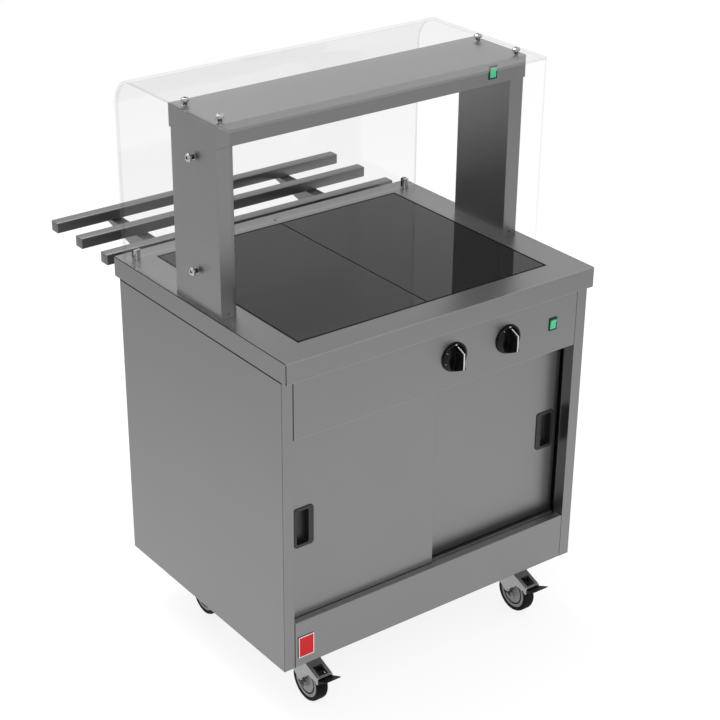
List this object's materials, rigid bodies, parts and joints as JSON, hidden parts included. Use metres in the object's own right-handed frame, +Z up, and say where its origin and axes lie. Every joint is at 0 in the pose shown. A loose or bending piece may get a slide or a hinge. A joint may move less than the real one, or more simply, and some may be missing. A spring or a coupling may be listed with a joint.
{
  "type": "hot cupboard servery counter",
  "caption": "Mobile steel hot cupboard with sliding doors, heated ceramic top, lamp gantry, clear curved screen, tray slide and swivel castors.",
  "frame": {"origin": "bottom centre of the whole part's box, on the floor that the castors stand on", "axes": "+Z up, +X to the right seen from the staff side, -Y towards the staff side with the doors and controls, +Y towards the customers and the tray slide"},
  "size_m": [0.824, 0.976, 1.308],
  "materials": {
    "steel_worktop": "satin brushed stainless steel",
    "steel_panel": "satin brushed stainless steel",
    "steel_inner": "plain mill finish steel",
    "track_alloy": "plain drawn alloy",
    "ceramic": "satin dark glass ceramic",
    "sealant": "dark silicone joint",
    "heating_mat": "silicone heating mat",
    "element_sheath": "dark sheathed heating rod",
    "bright_reflector": "bright rolled alloy",
    "lamp_ceramic": "white ceramic holders and pale quartz tubes",
    "clear_sheet": "clear polished sheet",
    "chrome_stud": "polished",
    "plate_red": "blank gloss plate",
    "castor_steel": "zinc plated pressed steel",
    "tyre_grey": "soft dark grey rubber",
    "hub_plastic": "light grey moulded",
    "nylon": "natural nylon",
    "black_plastic": "black moulded",
    "knob_plastic": "black moulded with pale marks",
    "green_lens": "translucent green rocker"
  },
  "bodies": {
    "cabinet": {"worktop": "steel_worktop", "ceramic_tile_left": "ceramic", "ceramic_tile_right": "ceramic", "tile_seal": "sealant", "tile_heaters": "heating_mat", "heater_tray": "steel_inner", "side_panel_left": "steel_panel", "side_panel_right": "steel_panel", "back_panel": "steel_panel", "base_panel": "steel_inner", "cupboard_liner": "steel_inner", "cupboard_floor": "steel_inner", "control_fascia": "steel_panel", "plinth_panel": "steel_panel", "upper_door_track": "track_alloy", "lower_door_track": "track_alloy", "shelf": "steel_inner", "shelf_runners": "steel_inner", "cupboard_heater": "element_sheath", "control_units": "black_plastic", "switch_bezels": "black_plastic", "gantry_post_left": "steel_panel", "gantry_post_right": "steel_panel", "gantry_canopy": "steel_worktop", "lamp_reflector": "bright_reflector", "heat_lamps": "lamp_ceramic", "screen_curved": "clear_sheet", "screen_end_left": "clear_sheet", "screen_end_right": "clear_sheet", "screen_studs": "chrome_stud", "tray_rails": "steel_panel", "rail_spacers": "steel_inner", "tray_brackets": "steel_panel", "maker_plate": "plate_red", "cable_gland": "black_plastic", "castor_plates": "castor_steel"},
    "door_left": {"door_left": "steel_panel", "door_handle_left": "black_plastic", "door_glides_left": "nylon"},
    "door_right": {"door_right": "steel_panel", "door_handle_right": "black_plastic", "door_glides_right": "nylon"},
    "knob_left": {"knob_left": "knob_plastic"},
    "knob_right": {"knob_right": "knob_plastic"},
    "rocker_fascia": {"rocker_fascia": "green_lens"},
    "rocker_gantry": {"rocker_gantry": "green_lens"},
    "fork_front_left": {"castor_fork_front_left": "castor_steel"},
    "wheel_front_left": {"tyre_front_left": "tyre_grey", "hub_front_left": "hub_plastic"},
    "pedal_left": {"brake_pedal_left": "black_plastic"},
    "fork_front_right": {"castor_fork_front_right": "castor_steel"},
    "wheel_front_right": {"tyre_front_right": "tyre_grey", "hub_front_right": "hub_plastic"},
    "pedal_right": {"brake_pedal_right": "black_plastic"},
    "fork_rear_left": {"castor_fork_rear_left": "castor_steel"},
    "wheel_rear_left": {"tyre_rear_left": "tyre_grey", "hub_rear_left": "hub_plastic"},
    "fork_rear_right": {"castor_fork_rear_right": "castor_steel"},
    "wheel_rear_right": {"tyre_rear_right": "tyre_grey", "hub_rear_right": "hub_plastic"}
  },
  "joints": [
    {"name": "door_left_slide", "type": "slide", "parent": "cabinet", "child": "door_left", "axis": [1, 0, 0], "range_m": [0, 0.37]},
    {"name": "door_right_slide", "type": "slide", "parent": "cabinet", "child": "door_right", "axis": [-1, 0, 0], "range_m": [0, 0.37]},
    {"name": "knob_left_turn", "type": "hinge", "parent": "cabinet", "child": "knob_left", "pos_m": [0.033, -0.455, 0.763], "axis": [0, 1, 0], "range_deg": [0, 270]},
    {"name": "knob_right_turn", "type": "hinge", "parent": "cabinet", "child": "knob_right", "pos_m": [0.181, -0.455, 0.763], "axis": [0, 1, 0], "range_deg": [0, 270]},
    {"name": "rocker_fascia_press", "type": "hinge", "parent": "cabinet", "child": "rocker_fascia", "pos_m": [0.31, -0.4526, 0.763], "axis": [1, 0, 0], "range_deg": [-14, 0]},
    {"name": "rocker_gantry_press", "type": "hinge", "parent": "cabinet", "child": "rocker_gantry", "pos_m": [0.304, -0.2266, 1.26975], "axis": [1, 0, 0], "range_deg": [-14, 0]},
    {"name": "castor_front_left_swivel", "type": "hinge", "parent": "cabinet", "child": "fork_front_left", "pos_m": [-0.2997, -0.351, 0.13], "axis": [0, 0, 1], "continuous": true},
    {"name": "wheel_front_left_roll", "type": "hinge", "parent": "fork_front_left", "child": "wheel_front_left", "pos_m": [-0.2997, -0.401, 0.048], "axis": [1, 0, 0], "continuous": true},
    {"name": "brake_left_press", "type": "hinge", "parent": "fork_front_left", "child": "pedal_left", "pos_m": [-0.2997, -0.45153, 0.07527], "axis": [1, 0, 0], "range_deg": [0, 14]},
    {"name": "castor_front_right_swivel", "type": "hinge", "parent": "cabinet", "child": "fork_front_right", "pos_m": [0.2997, -0.351, 0.13], "axis": [0, 0, 1], "continuous": true},
    {"name": "wheel_front_right_roll", "type": "hinge", "parent": "fork_front_right", "child": "wheel_front_right", "pos_m": [0.2997, -0.401, 0.048], "axis": [1, 0, 0], "continuous": true},
    {"name": "brake_right_press", "type": "hinge", "parent": "fork_front_right", "child": "pedal_right", "pos_m": [0.2997, -0.45153, 0.07527], "axis": [1, 0, 0], "range_deg": [0, 14]},
    {"name": "castor_rear_left_swivel", "type": "hinge", "parent": "cabinet", "child": "fork_rear_left", "pos_m": [-0.2997, 0.064, 0.13], "axis": [0, 0, 1], "continuous": true},
    {"name": "wheel_rear_left_roll", "type": "hinge", "parent": "fork_rear_left", "child": "wheel_rear_left", "pos_m": [-0.2997, 0.014, 0.048], "axis": [1, 0, 0], "continuous": true},
    {"name": "castor_rear_right_swivel", "type": "hinge", "parent": "cabinet", "child": "fork_rear_right", "pos_m": [0.2997, 0.064, 0.13], "axis": [0, 0, 1], "continuous": true},
    {"name": "wheel_rear_right_roll", "type": "hinge", "parent": "fork_rear_right", "child": "wheel_rear_right", "pos_m": [0.2997, 0.014, 0.048], "axis": [1, 0, 0], "continuous": true}
  ]
}
